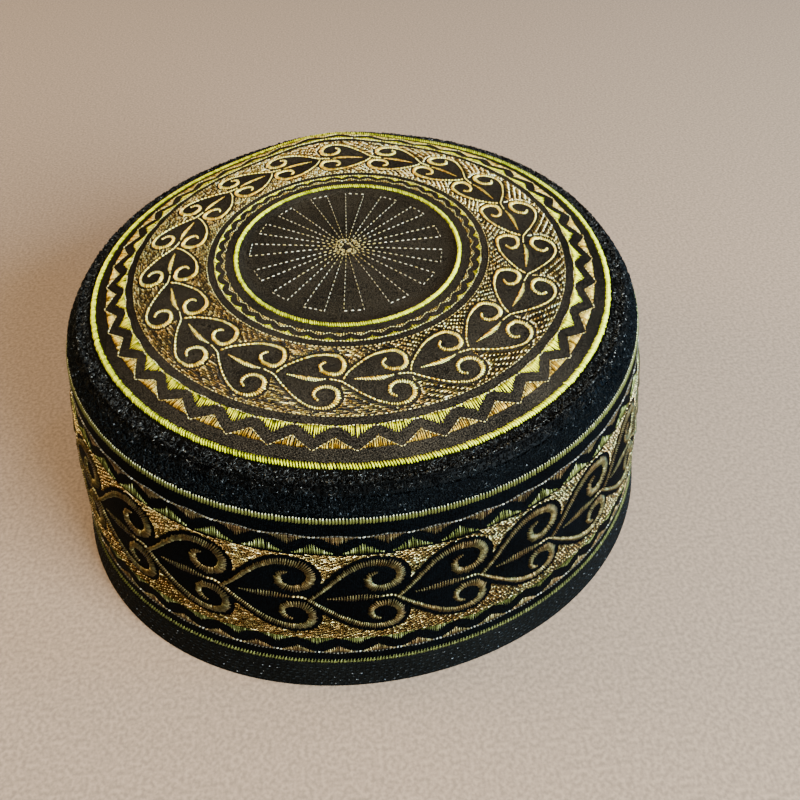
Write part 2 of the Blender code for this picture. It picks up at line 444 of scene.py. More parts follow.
def fieldRows(heart, field, chance):
    # the gold ground round one heart: staggered stitches in rows, cut where the heart lies
    pitch = math.tau * heart["radius"] / heart["count"]
    count = int(round((field["top"] - field["bottom"]) / field["rowStep"]))
    rowStep = (field["top"] - field["bottom"]) / count
    perRow = int(round(pitch / field["stitch"]))
    slope = field["drift"] * rowStep / pitch
    upper, lower = flowing(heart["upper"], 0.5), flowing(heart["lower"], 0.5)
    above, below = (line[:int(len(line) * share), :2]
                    for line, share in zip((upper, lower), heart["notches"]))
    ring = np.concatenate([above, [[pitch, 0]], below[::-1]])
    made = []
    share = np.linspace(0, 1, 25)
    for row in range(-abs(field["drift"]) - 1, count + abs(field["drift"]) + 1):
        edges = (np.arange(perRow) + (row * field["step"] % 1)
                 + chance.uniform(-field["uneven"], field["uneven"], perRow)) * pitch / perRow
        tones = chance.normal(field["tone"], field["patchy"]) + chance.normal(0, 0.1, perRow)
        for left, right, tone in zip(edges, np.append(edges[1:], edges[0] + pitch), tones):
            x = left + share * (right - left)
            y = field["bottom"] + row * rowStep + slope * (x - pitch)
            free = (y > field["bottom"]) & (y < field["top"])
            for shift in (-pitch, 0, pitch, 2 * pitch):
                moved = columns(x - shift, y)
                free &= ~within(moved, ring)
                free &= edgeDistance(moved, upper) > field["gap"]
                free &= edgeDistance(moved, lower) > field["gap"]
            for marks in np.split(np.arange(25), np.flatnonzero(np.diff(free)) + 1):
                first, last = marks[0], marks[-1]
                if not free[first] or x[last] - x[first] < satin["shortest"]:
                    continue
                tilt = field["slant"] * (last - first) / 48
                made.append((x[first], y[first] - tilt, x[last], y[last] + tilt, field["width"],
                             field["rise"], tone + field["fade"] * y[first]))
    return made


def pointRows(band, chance):
    # satin triangles: upright stitches from the base level, longest under the apex
    (first, count), aside, base, apex, spread, power, tones, pitch, radius, width, rise = band
    half = math.pi / count * spread
    number = max(int(round(2 * half * radius / pitch)), 3)
    made = []
    for index in range(count):
        middle = math.radians(first + aside * 360 / count) + index * math.tau / count
        for share in np.linspace(-1, 1, number) + chance.normal(0, 0.25 / number, number):
            tall = 0.06 + 0.94 * max(1 - abs(share), 0) ** power
            tall *= 1 + 0.05 * chance.standard_normal()
            turn = middle + share * half
            made.append((turn, base, turn + 0.04 / radius, base + (apex - base) * tall, width, rise,
                         chance.uniform(*tones)))
    return made


def dashedLine(line, dash, gap, width, rise, tones, chance):
    # running stitches along (azimuth, level, true radius) points
    run = np.concatenate([[0], np.cumsum(np.hypot(
        np.diff(line[:, 0]) * line[:-1, 2], np.diff(line[:, 1])))])
    count = max(int(round(run[-1] / (dash + gap))), 1)
    starts = np.arange(count) * run[-1] / count
    ends = [np.interp(places, run, line[:, column])
            for places in (starts, starts + dash) for column in (0, 1)]
    return columns(*ends, width, rise, chance.uniform(*tones, count))


def zigzagLine(zigzag, aside, low, high, radius):
    # a line that peaks at the high level at its first azimuth and is low half way between
    first, count = zigzag
    marks = np.arange(2 * count + 1)
    turns = math.radians(first + aside * 360 / count) + marks * math.pi / count
    return columns(turns, np.where(marks % 2 == 0, high, low), radius)


def ringLine(level, radius):
    return columns(np.linspace(0, math.tau, 400), level, radius)


def ringRows(level, width, pitch, radius, rise, slant, thick, tones, chance):
    count = int(round(math.tau * radius / pitch))
    turns = np.arange(count) * math.tau / count + chance.normal(0, 0.06, count) * pitch / radius
    reach = width / 2 * (1 + 0.09 * chance.standard_normal((count, 2)))
    return columns(turns - slant / radius, level - reach[:, 0], turns + slant / radius,
                   level + reach[:, 1], thick, rise, chance.uniform(*tones, count))


# Finishes

def newFinish(name):
    finish = bpy.data.materials.new(name)
    finish.use_nodes = True
    return finish, finish.node_tree


def joined(node, inputs):
    # links a socket to a node's input, or sets a plain value on it
    for key, value in inputs.items():
        if isinstance(value, bpy.types.NodeSocket):
            node.id_data.links.new(value, node.inputs[key])
        else:
            node.inputs[key].default_value = value


def addNode(tree, kind, inputs, output=0, **settings):
    node = tree.nodes.new("ShaderNode" + kind)
    for key, value in settings.items():
        setattr(node, key, value)
    joined(node, inputs)
    return node.outputs[output]


def placeOf(tree):
    return addNode(tree, "TexCoord", {}, "Object")


def noiseAt(tree, place, scale, detail):
    return addNode(tree, "TexNoise", {"Vector": place, "Scale": scale, "Detail": detail}, "Fac")


def addedTo(tree, base, value, factor, clamped=False):
    # value times factor, added to the base
    return addNode(tree, "Math", {0: value, 1: factor, 2: base}, operation="MULTIPLY_ADD", use_clamp=clamped)


def ranged(tree, value, low, high, start=0, end=1):
    return addNode(tree, "MapRange", {"Value": value, "From Min": start, "From Max": end,
                                      "To Min": low, "To Max": high})


def shadedBy(tree, colour, shades):
    return addNode(tree, "Mix", {0: 1, 6: colour, 7: shades}, 2, data_type="RGBA", blend_type="MULTIPLY")


def rampNode(tree, factor, stops):
    # stops: place, red, green, blue
    colour = addNode(tree, "ValToRGB", {"Fac": factor})
    marks = colour.node.color_ramp.elements
    for mark, (place, *shade) in zip(marks, (stops[0], stops[-1])):
        mark.position = place
        mark.color = (*shade, 1)
    for place, *shade in stops[1:-1]:
        marks.new(place).color = (*shade, 1)
    return colour


def threadFinish(name, colours, roughness=0.42, metal=0, gloss=0.5, streaks=0.7, paintedFlankShade=0,
                 patches=None, paintedGlint=None):
    finish, tree = newFinish(name)
    tone = addNode(tree, "Attribute", {}, "Fac", attribute_name="tone")
    place = placeOf(tree)
    along = addNode(tree, "UVMap", {}, uv_map="threadMap")
    fade = noiseAt(tree, place, 900, 2)
    streak = addNode(tree, "Math", {0: fade, 1: 0.5}, operation="SUBTRACT")
    mixed = addedTo(tree, tone, streak, streaks, True)
    if paintedFlankShade:    # painted shade: one flank of each thread is coloured darker, as if it lay in its neighbour's shade
        flank = addNode(tree, "SeparateXYZ", {"Vector": along}, "Y")
        mixed = addedTo(tree, mixed, flank, paintedFlankShade, True)
    colour = rampNode(tree, mixed, colours)
    if patches:      # the dye runs from one shade to another along the work
        patch = noiseAt(tree, place, 210, 2)
        shades = rampNode(tree, patch, [(0.36, *patches[0]), (0.64, *patches[1])])
        colour = shadedBy(tree, colour, shades)
    twist = addNode(tree, "Mapping", {"Vector": along, "Rotation": (0, 0, 0.9)})
    plies = addNode(tree, "TexWave", {"Vector": twist, "Scale": 1.1, "Distortion": 0.6, "Detail": 1},
                    "Fac")
    # painted shade darkens the grooves between the plies, which the same wave also bumps
    colour = shadedBy(tree, colour, ranged(tree, plies, 0.72, 1))
    if paintedGlint:        # painted glints: single specks coloured bright, as if fibres caught the light
        speck = noiseAt(tree, place, 1500, 1)
        lit = rampNode(tree, speck, [(0.66, 0, 0, 0), (0.74, 1, 1, 1)])
        colour = addNode(tree, "Mix", {0: lit, 6: colour, 7: (paintedGlint, paintedGlint, paintedGlint, 1)}, 2,
                         data_type="RGBA")
    joined(tree.nodes["Principled BSDF"], {
        "Base Color": colour, "Metallic": metal, "Specular IOR Level": gloss,
        "Roughness": ranged(tree, fade, roughness - 0.08, roughness + 0.12),
        "Normal": addNode(tree, "Bump", {"Height": plies, "Strength": 0.35, "Distance": 0.08 * mm})})
    return finish


def clothFinish(name, colours, roughness, gloss, pitch, mapped=True, bias=0, edge=None, paintedSideShade=0):
    finish, tree = newFinish(name)
    place = placeOf(tree)
    flat = addNode(tree, "UVMap", {}, uv_map="clothMap")
    laid, unit = (flat, 1) if mapped else (place, 1 / mm)
    weave = addNode(tree, "Mapping", {"Vector": laid, "Scale": (unit, unit, unit),
                                      "Rotation": (0, 0, bias)})
    warp, weft = (addNode(tree, "TexWave", {
        "Vector": weave, "Scale": 0.314 / pitch, "Distortion": 0.8, "Detail": 1}, "Fac",
        bands_direction=direction) for direction in ("X", "Y"))
    crossed = addNode(tree, "Math", {0: warp, 1: weft}, operation="MULTIPLY")
    worn = noiseAt(tree, place, 60, 4)
    lint = noiseAt(tree, place, 3600, 1)
    shade = 0
    if edge:         # painted shade: darker where the seam's fur lies over it, and darker towards both sides, left and right
        run = addNode(tree, "SeparateXYZ", {"Vector": flat}, "Y")
        aside = addNode(tree, "SeparateXYZ", {"Vector": place}, "X")
        aside = addNode(tree, "Math", {0: aside}, operation="ABSOLUTE")
        shade = addNode(tree, "Math", {0: ranged(tree, aside, 0, paintedSideShade, 0.048, 0.072),
                                       1: ranged(tree, run, 0, -0.26, edge, edge + 0.3)})
    level = addedTo(tree, shade, crossed, 0.24)
    level = addedTo(tree, level, worn, 0.22)
    level = addedTo(tree, level, lint, 0.95)
    joined(tree.nodes["Principled BSDF"], {
        "Base Color": rampNode(tree, level, colours), "Specular IOR Level": gloss,
        "Roughness": ranged(tree, worn, roughness - 0.1, roughness + 0.1),
        "Normal": addNode(tree, "Bump", {"Height": level, "Strength": 0.5, "Distance": 0.15 * mm})})
    return finish


weaves = {
    "crownWeave": dict(mapped=False, bias=0.35, pitch=0.36, roughness=0.7, gloss=0.015,
        edge=74.9, paintedSideShade=-0.1, colours=[
        (0.5, 0.0003, 0.0002, 0.0001), (0.65, 0.006, 0.0044, 0.003), (0.86, 0.037, 0.028, 0.018)]),
    "sideWeave": dict(pitch=0.45, roughness=0.6, gloss=0.008, colours=[
        (0.56, 0, 0, 0), (0.68, 0.0003, 0.0004, 0.0005), (0.86, 0.0016, 0.0024, 0.0031)]),
    "hemWeave": dict(pitch=0.45, roughness=0.7, gloss=0.02, colours=[
        (0.5, 0.0001, 0.0001, 0.0001), (0.66, 0.0012, 0.0012, 0.001), (0.86, 0.0048, 0.0049, 0.0042)]),
}
threads = {
    # for the seam's and shoulder's fur, the stops above 0.74 give the colour of the painted glints
    "seamThread": dict(roughness=0.5, gloss=0.02, colours=[
        (0, 0.0002, 0.0002, 0.0002), (0.4, 0.0056, 0.0052, 0.0047), (0.74, 0.028, 0.027, 0.025),
        (0.97, 0.26, 0.25, 0.23)]),
    "shoulderThread": dict(roughness=0.5, gloss=0.02, streaks=0.4, colours=[
        (0, 0.0001, 0.0001, 0.0001), (0.36, 0.0022, 0.0026, 0.0028), (0.74, 0.0048, 0.0062, 0.007),
        (0.97, 0.16, 0.17, 0.18)]),
    "hemThread": dict(roughness=0.5, gloss=0.06, paintedGlint=0.14, colours=[
        (0, 0.0003, 0.0004, 0.0005), (1, 0.0045, 0.0055, 0.006)]),
    "limeThread": dict(metal=0.4, gloss=0, paintedFlankShade=-0.9, colours=[
        (0, 0.01, 0.01, 0), (0.3, 0.16, 0.16, 0), (0.6, 0.58, 0.54, 0), (0.9, 0.96, 0.84, 0)]),
    "ringThread": dict(metal=0.3, gloss=0, paintedFlankShade=-1, colours=[
        (0, 0.004, 0.005, 0), (0.25, 0.066, 0.074, 0), (0.5, 0.29, 0.31, 0),
        (0.75, 0.68, 0.68, 0.002), (1, 0.96, 0.92, 0.04)]),
    "oliveThread": dict(metal=0.4, gloss=0, paintedFlankShade=0.5, colours=[
        (0, 0.014, 0.015, 0.003), (0.4, 0.06, 0.064, 0.015), (0.75, 0.165, 0.175, 0.05),
        (1, 0.5, 0.51, 0.22)]),
    "bandThread": dict(metal=0.2, roughness=0.48, gloss=0.1, paintedFlankShade=0.1, streaks=0.5, colours=[
        (0, 0.006, 0.006, 0.001), (0.35, 0.052, 0.052, 0.01), (0.6, 0.096, 0.098, 0.02),
        (0.82, 0.24, 0.235, 0.11), (1, 0.62, 0.6, 0.38)]),
    "goldThread": dict(metal=0.8, roughness=0.27, paintedFlankShade=1, streaks=0.9,
        patches=((1, 0.84, 0.7), (0.94, 1, 1)), colours=[
        (0, 0.006, 0.003, 0.0003), (0.25, 0.068, 0.036, 0.004), (0.45, 0.24, 0.142, 0.018),
        (0.65, 0.84, 0.62, 0.16), (0.85, 1, 0.97, 0.62)]),
    "paleGoldThread": dict(metal=1, roughness=0.3, paintedFlankShade=1, streaks=1.3,
        patches=((1, 0.84, 0.62), (0.94, 1, 0.82)), colours=[
        (0, 0.006, 0.003, 0.0008), (0.25, 0.05, 0.028, 0.009), (0.5, 0.122, 0.074, 0.024),
        (0.72, 0.32, 0.22, 0.082), (0.92, 0.97, 0.83, 0.5)]),
    "creamThread": dict(metal=0.5, roughness=0.4, colours=[
        (0, 0.26, 0.15, 0.02), (0.5, 0.66, 0.5, 0.15), (1, 1, 0.92, 0.48)]),
    "valleyThread": dict(metal=0.2, roughness=0.4, gloss=0.3, colours=[
        (0, 0.03, 0.025, 0.018), (0.5, 0.11, 0.1, 0.075), (1, 0.42, 0.4, 0.32)]),
    "outlineThread": dict(metal=0.7, roughness=0.38, paintedFlankShade=0.5,
        patches=((1, 0.82, 0.6), (1, 1, 1)), colours=[
        (0, 0.07, 0.028, 0.001), (0.35, 0.42, 0.22, 0.006), (0.65, 0.9, 0.66, 0.055),
        (1, 1, 0.95, 0.32)]),
    "sideOutlineThread": dict(metal=0.7, gloss=0.1, paintedFlankShade=0.2, streaks=0.9,
        patches=((1, 0.8, 0.62), (0.92, 1, 0.9)), colours=[
        (0, 0.005, 0.003, 0.002), (0.35, 0.036, 0.026, 0.011), (0.65, 0.074, 0.055, 0.022),
        (0.85, 0.15, 0.12, 0.05), (1, 0.52, 0.45, 0.23)]),
    "tanThread": dict(metal=0.6, roughness=0.38, gloss=0, paintedFlankShade=1.6,
        patches=((1, 0.82, 0.62), (1, 1, 0.9)), colours=[
        (0, 0.014, 0.006, 0.0003), (0.3, 0.14, 0.072, 0.005), (0.6, 0.56, 0.36, 0.036),
        (0.9, 0.96, 0.74, 0.17)]),
    "brownThread": dict(metal=0.6, gloss=0.1, paintedFlankShade=0.4,
        patches=((1, 0.76, 0.56), (0.94, 1, 0.8)), colours=[
        (0, 0.007, 0.004, 0.002), (0.5, 0.05, 0.034, 0.014), (0.8, 0.115, 0.084, 0.036),
        (1, 0.34, 0.28, 0.15)]),
    "petalThread": dict(roughness=0.5, gloss=0.2, colours=[
        (0, 0.16, 0.095, 0.014), (0.3, 0.34, 0.25, 0.075), (0.6, 0.3, 0.25, 0.15),
        (1, 0.54, 0.47, 0.33)]),
}
finishes = {name: clothFinish(name, **settings) for name, settings in weaves.items()}
finishes.update({name: threadFinish(name, **settings) for name, settings in threads.items()})
print("finishes mixed:", len(finishes))

# Cloth walls
turnedCloth("crownCloth", wallSection(crownLine), False, "crownWeave", "crown_panel")
turnedCloth("sideCloth", wallSection(sideLine), True, "sideWeave", "side_band")

hem = {"top": 10.4, "rows": 7, "cord": 0.05, "radius": 93.4, "dash": 1.6, "gap": 0.7, "width": 0.34,
       "rise": 0.22, "seed": 4}
hemOutline = np.array([(91.8, 10.4), (92.4, 9.8), (93.4, 5.2), (94.2, 1.4), (94.5, 0.5), (94, 0)])
hemPlaces = np.linspace(0, 1, 57)
hemRun = runAlong(hemOutline)
hemLine = np.stack([np.interp(hemPlaces * hemRun[-1], hemRun, hemOutline[:, axis]) for axis in (0, 1)], 1)
cords = hem["cord"] * np.abs(np.sin(hemPlaces * math.pi * hem["rows"]))
cords[hemLine[:, 1] < 0.6] = 0
hemLine += outOf(hemLine) * (cords - hem["cord"] / 2 * (cords > 0))[:, None]
hemInside = [(91.8, 0), (91.5, 0.4), (90.2, 5.4), (88.8, 10.4)]
turnedCloth("hemBinding", np.concatenate([hemLine, hemInside]), True, "hemWeave", "hem_binding")
chance = np.random.default_rng(hem["seed"])
count = int(math.tau * hem["radius"] / (hem["dash"] + hem["gap"]))
hemRows = []
for level in (np.arange(hem["rows"] - 1) + 1) / hem["rows"] * (hem["top"] - 0.6) + 0.3:
    turns = (np.arange(count) + chance.uniform(-0.2, 0.2, count) + chance.uniform()) * math.tau / count
    half = hem["dash"] * chance.uniform(0.35, 0.6, count) / hem["radius"]
    levels = level + chance.normal(0, 0.1, count)
    hemRows.append(columns(turns - half, levels, turns + half, levels + chance.normal(0, 0.12, count),
                           hem["width"], hem["rise"], chance.uniform(0, 1, count)))
hemStitches = sewn("hemStitches", clothFrom(hemLine, hemLine[:, 1]), np.concatenate(hemRows), fleckThread,
                   "hemThread")
print("cloth walls turned")

# The overcast seam: a furry ridge at the crown's edge that runs on into the ribbed shoulder
seam = {"start": (76.9, 77.2), "end": (80.2, 75), "inside": [(78.72, 72.98), (75.99, 74.98)],
        "out": (2.2, 3.3), "ridge": 0.75, "swell": 0.4, "crownFrom": 74.2, "sideTo": 70.2,
        "loops": 13000, "radius": 78, "seed": 5}
seamShare = np.linspace(0, 1, 21)
seamRise = seam["ridge"] * hump(seamShare - 0.24, 0.17) + seam["swell"] * np.sin(math.pi * seamShare)
seamRise[[0, -1]] = 0
seamLine = (np.array(seam["start"]) + seamShare[:, None] * (np.array(seam["end"]) - seam["start"])
            + np.array(seam["out"]) / math.hypot(*seam["out"]) * seamRise[:, None])
turnedCloth("crownSeam", np.concatenate([seamLine, seam["inside"]]), True, "seamThread", "crown_seam")

# from the crown's border over the ridge and the shoulder to the side's border, by its run
crownEdge = crownLine[crownLine[:, 0] > seam["crownFrom"]]
edgeLine = np.concatenate([crownEdge, seamLine, sideLine[sideLine[:, 1] > seam["sideTo"]]])
edgeRun = runAlong(edgeLine)
edgeFace = clothFrom(edgeLine, edgeRun)
ridgeStart = edgeRun[len(crownEdge)] - 0.5
ribEnd = edgeRun[-1]

# the fur's painted shade: tufts round the cap, where their dark recesses start below the ridge, how deep and
# wide they reach and how dark they are, and the lightest tone, which stays below the painted glints
tufts = {"count": 86, "top": 2.4, "depth": 3.2, "reach": 0.34, "shade": 0.3, "lightest": 0.74}


def furToneAndPaintedShade(turn, level, tone):
    # the ridge's top is painted lighter as a highlight, the fur is lighter near the crown's border, and
    # painted shade darkens the ridge's foot and the recesses between the tufts below it
    below = level - ridgeStart
    shade = (0.14 * hump(below - 1.1, 0.6) - 0.16 * hump(below - tufts["top"], 0.4)
             + 0.17 * hump(level - 1.1, 0.8))
    phase = np.abs((turn * tufts["count"] / math.tau + 0.16 * np.sin(turn * 31)) % 1 - 0.5)
    reach = tufts["reach"] * np.clip(1 - (below - tufts["top"]) / tufts["depth"], 0, 1)
    shade -= tufts["shade"] * (phase < reach) * (below > tufts["top"] - 0.2)
    return np.clip(tone + shade, 0, tufts["lightest"])


chance = np.random.default_rng(seam["seed"])
count = seam["loops"]
turns = chance.uniform(0, math.tau, count)
levels = np.where(chance.uniform(size=count) < 0.68, ridgeStart + 4.6 * chance.beta(1.25, 1.5, count),
                  chance.uniform(0.34, ridgeStart + 0.4, count))
lean = chance.uniform(-math.pi, math.pi, count)
reach = chance.uniform(0.22, 0.5, count)
side, down = reach * np.sin(lean) / seam["radius"], reach * np.cos(lean)
rises = chance.uniform(0.25, 0.8, count) * np.clip(levels / ridgeStart - 0.1, 0.3, 1)
seamRows = columns(turns - side, levels - down, turns + side, levels + down,
                   chance.uniform(0.22, 0.4, count), rises,
                   furToneAndPaintedShade(turns, levels, chance.normal(0.38, 0.2, count)))
paintedSparkles(seamRows, 90)
seamLoops = sewn("seamLoops", edgeFace, seamRows, furThread, "seamThread")

# over the shoulder the same fur lies flatter, in small crumpled tufts
shoulder = {"tufts": 13500, "cell": 1.1, "radius": 82, "seed": 6}
chance = np.random.default_rng(shoulder["seed"])
count = shoulder["tufts"]
turns = chance.uniform(0, math.tau, count)
levels = chance.uniform(ridgeStart + 3.6, ribEnd - 0.25, count)
cells = chance.normal(0, 1, (400, 12))
cell = cells[(turns * shoulder["radius"] / shoulder["cell"] + 0.8 * np.sin(levels * 1.7)).astype(int) % 400,
             (levels / shoulder["cell"] + 0.7 * np.sin(turns * 60) + 2).astype(int) % 12]
lean = chance.uniform(-math.pi, math.pi, count)
reach = chance.uniform(0.22, 0.48, count)
side, down = reach * np.sin(lean) / shoulder["radius"], reach * np.cos(lean)
tones = furToneAndPaintedShade(turns, levels, 0.4 + 0.1 * cell + chance.normal(0, 0.14, count))
shoulderRows = columns(turns - side, levels - down, turns + side, np.minimum(levels + down, ribEnd),
                       chance.uniform(0.4, 0.62, count),
                       np.clip(0.3 + 0.14 * cell + chance.normal(0, 0.08, count), 0.08, 0.7), tones)
paintedSparkles(shoulderRows, 130)
shoulderStitches = sewn("shoulderStitches", edgeFace, shoulderRows, furThread, "shoulderThread")
print("seam sewn over")

# Four raised satin borders
borders = {
    # piece: node, cloth, thread, finish, tones,
    # level, width, pitch, radius, rise, slant, thickness
    "medallionRing": ("medallion_ring", crownTop, ringThread, "ringThread", (0.6, 1),
                      32.1, 1.4, 0.62, 32.3, 0.8, 0.26, 0.4712),
    "crownRing": ("crown_ring", crownTop, ringThread, "ringThread", (0.6, 1),
                  73.4, 1.65, 0.72, 73.4, 0.8, 0.3, 0.5616),
    "upperBandRing": ("upper_band_ring", sideFace, tipThread, "bandThread", (0.5, 0.62),
                      69, 1.8, 0.8, 83.3, 0.34, 0.06, 0.64),
    "lowerBandRing": ("lower_band_ring", sideFace, combThread, "bandThread", (0.16, 0.5),
                      12.6, 1.4, 0.92, 92, 0.6, 0.26, 0.5704),
}
for seed, (name, (node, cloth, form, finish, tones, *measures)) in enumerate(borders.items()):
    chance = np.random.default_rng(20 + seed)
    rows = ringRows(*measures, tones, chance)
    if form is combThread:    # a comb's teeth stand on a line
        level, _, _, radius = measures[:4]
        rows = np.concatenate([rows, dashedLine(ringLine(level - 0.5, radius), 1.6, -0.3, 0.44, 0.36,
                                                (0.35, 0.62), chance)])
    piece = sewn(name, cloth, rows, form, finish)
    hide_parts(node)

# Hearts, in millimetres from the tip: along the cap, across it, width of the satin line. A notch is
# where a lobe has come round, as a share of its line.
crownHeart = {
    "count": 19, "first": -93.83, "radius": 52, "level": 52, "notches": (0.66, 0.64),
    "upper": [
        (0, 0, 0.38), (4.97, 3.96, 0.45), (8.7, 6.54, 0.56), (11.19, 7.61, 0.68), (12.85, 7.74, 0.85),
        (14.51, 7.31, 1.05), (15.96, 5.89, 1.2), (16.37, 4.17, 1.25), (15.96, 2.67, 1.2),
        (14.71, 1.72, 1.1), (13.06, 1.46, 1), (11.6, 2.02, 0.95), (10.78, 3.31, 0.9), (10.86, 4.6, 0.8),
        (11.81, 5.38, 0.65), (12.43, 5.46, 0.5)],
    "lower": [
        (0.08, -0.77, 0.38), (1.45, -3.14, 0.42), (4.56, -5.93, 0.5), (7.87, -7.87, 0.58),
        (10.36, -8.51, 0.68), (12.85, -8.77, 0.85), (15.33, -8.51, 1.1), (16.99, -7.22, 1.3),
        (17.61, -5.5, 1.35), (17.2, -3.57, 1.3), (15.96, -2.49, 1.2), (14.09, -2.28, 1.1),
        (12.43, -2.71, 1), (11.19, -3.78, 0.95), (10.86, -5.07, 0.8), (11.6, -5.93, 0.65),
        (12.6, -6.4, 0.5)],
    "spear": [(3.1, -0.86, 0.25), (6.2, -0.6, 0.85), (9.1, -0.43, 1.3), (11, -0.5, 0.9),
              (12.7, -0.69, 0.3)],
    "thread": [(13.8, -0.77, 0.3), (15.4, -0.5, 0.3), (17.2, 0, 0.3)],
    "pitchOfSatin": 0.58, "rise": 0.5, "thin": 0.54, "comb": (0.62, 0.7), "tones": (0.5, 1),
    "combTones": (0.5, 0.9),
}
sideHeart = {
    "count": 24, "first": -86.65, "radius": 88.6, "level": 40.5, "notches": (0.7, 0.7),
    "upper": [
        (0, 0, 1), (2.44, 2.44, 1.15), (4.88, 5.09, 1.25), (7.33, 7.94, 1.4), (9.77, 10.38, 1.6),
        (12.62, 12.41, 1.85), (15.47, 13.63, 2.1), (18.11, 13.84, 2.4), (21.16, 13.23, 2.6),
        (23.2, 12.01, 2.75), (24.42, 9.97, 2.9), (24.42, 7.94, 2.8), (23.4, 5.9, 2.6), (21.57, 4.48, 2.5),
        (19.13, 3.87, 2.5), (16.69, 4.68, 2.4), (15.67, 6.31, 2.3), (15.67, 7.94, 2), (16.28, 9.36, 1.4),
        (18.11, 10.18, 0.6)],
    "lower": [
        (0, -0.2, 1), (2.44, -2.44, 1.2), (5.7, -5.29, 1.4), (8.95, -7.94, 1.7), (12.21, -10.18, 2),
        (15.87, -11.6, 2.1), (19.13, -11.8, 2.2), (21.78, -10.79, 2.35), (23.4, -8.75, 2.45),
        (23.81, -5.9, 2.45), (22.79, -3.46, 2.45), (20.76, -2.24, 2.45), (18.32, -2.04, 2.2),
        (16.28, -3.46, 2), (15.67, -5.49, 1.8), (16.48, -7.53, 1.3), (18.11, -8.34, 0.6)],
    "spear": [(4.9, 0.53, 0.4), (9, 0.75, 1.6), (13, 0.94, 2.3), (16, 0.85, 1.6),
              (18.7, 0.69, 0.6)],
    "thread": [(18.7, 0.69, 0.5), (21.2, 0.94, 0.5), (23.2, 0, 0.5)],
    "pitchOfSatin": 0.64, "rise": 0.55, "thin": 0.3, "comb": (0.74, 0.15), "tones": (0.46, 0.7),
    "combTones": (0.3, 0.6),
}


def heartRows(heart, chance):
    rows = []
    for side, outer in (("upper", 1), ("lower", -1)):
        rows += satinAlong(heart[side], outer, heart["pitchOfSatin"], 0.12 * outer, heart["rise"],
                           heart["thin"], heart["tones"], chance)
    rows += satinAlong(heart["thread"], 1, 0.5, 0, 0.3, 0.6, (0.8, 1), chance)
    return rows


for name, spearName, cloth, heart, finish, seed in (
        ("crownHearts", "crownSpears", crownTop, crownHeart, "outlineThread", 31),
        ("sideHearts", "sideSpears", sideFace, sideHeart, "sideOutlineThread", 32)):
    chance = np.random.default_rng(seed)
    rows = repeated(heartRows(heart, chance), heart)
    sewn(name, cloth, shaken(rows, 0.04, 0.06, chance), archThread, finish)
    spear = satinAlong(heart["spear"], -1, *heart["comb"], heart["rise"] * 0.7, 0.2, heart["combTones"],
                       chance)
    sewn(spearName, cloth, shaken(repeated(spear, heart), 0.03, 0.06, chance), combThread, finish)

# The gold ground between the hearts
# each ground's tone rises by fade per millimetre of level, so the side's ground is darker towards its bottom
crownGround = {"bottom": -11.2, "top": 9.6, "rowStep": 0.46, "stitch": 3.1, "step": 0.27, "drift": 3,
               "gap": 0.6, "slant": -0.3, "width": 0.5, "rise": 0.36, "uneven": 0.06,
               "tone": 0.4, "patchy": 0.07, "shake": 0.04, "spread": 0.12, "seed": 41, "fade": 0,
               "finish": "goldThread"}
sideGround = {"bottom": -16.6, "top": 16.8, "rowStep": 0.42, "stitch": 2.1, "step": 0.38, "drift": -1,
              "gap": 1.1, "slant": -0.26, "width": 0.38, "rise": 0.34, "uneven": 0.16,
              "tone": 0.355, "patchy": 0.1, "shake": 0.05, "spread": 0.17, "seed": 42, "fade": 0.009,
              "finish": "paleGoldThread"}
for name, cloth, heart, ground in (("crownGround", crownTop, crownHeart, crownGround),
                                   ("sideGround", sideFace, sideHeart, sideGround)):
    chance = np.random.default_rng(ground["seed"])
    rows = repeated(fieldRows(heart, ground, chance), heart)
    sewn(name, cloth, shaken(rows, ground["shake"], ground["spread"], chance), fillThread, ground["finish"])
print("hearts and their ground embroidered")

# Zigzag borders: satin triangles on both sides of a bare zigzag
crownOuter, crownInner = (-99.3, 42), (-95.5, 42)    # first azimuth and count
sideUpper, sideLower = (-91.9, 43), (-94.2, 51)
tents = {
    # piece: cloth, finish, slot and its bands, each with its zigzag, how far it stands aside as a share
    # of the pitch, base, apex, spread, power, tones, stitch pitch, radius, width and rise
    "crownLimePoints": (crownTop, "limeThread", "crown_ring", [
        (crownOuter, 0, 64, 66.9, 0.86, 1, (0.55, 1), 0.54, 65, 0.45, 0.4),
        (crownInner, 0.5, 38.15, 36.75, 0.66, 1.3, (0.5, 1), 0.4, 37.5, 0.38, 0.32)]),
    "crownTanPoints": (crownTop, "tanThread", None, [
        (crownOuter, 0.5, 69.4, 66.5, 0.75, 1, (0.45, 1), 0.52, 68, 0.44, 0.38),
        (crownInner, 0, 35.35, 36.1, 0.32, 1, (0.5, 1), 0.4, 35.8, 0.36, 0.28)]),
    "sideLimePoints": (sideFace, "oliveThread", "upper_band_ring", [
        (sideUpper, 0, 58, 61.5, 0.78, 1.15, (0.2, 0.75), 0.56, 85, 0.5, 0.34),
        (sideLower, 0, 23.8, 20.5, 0.78, 1.15, (0.2, 0.75), 0.56, 91, 0.62, 0.32)]),
    "sideTanPoints": (sideFace, "brownThread", None, [
        (sideUpper, 0.5, 63.7, 60.5, 0.8, 1.15, (0.4, 0.75), 0.54, 84.5, 0.76, 0.32),
        (sideLower, 0.5, 17.1, 20.1, 0.8, 1.15, (0.4, 0.75), 0.54, 91.5, 0.7, 0.32)]),
}
chance = np.random.default_rng(51)
tentRows = [sum((pointRows(band, chance) for band in bands), []) for *_, bands in tents.values()]
for rows, (name, (cloth, finish, slot, _)) in zip(tentRows, tents.items()):
    piece = sewn(name, cloth, shaken(rows, 0.03, 0.14, chance), combThread, finish)

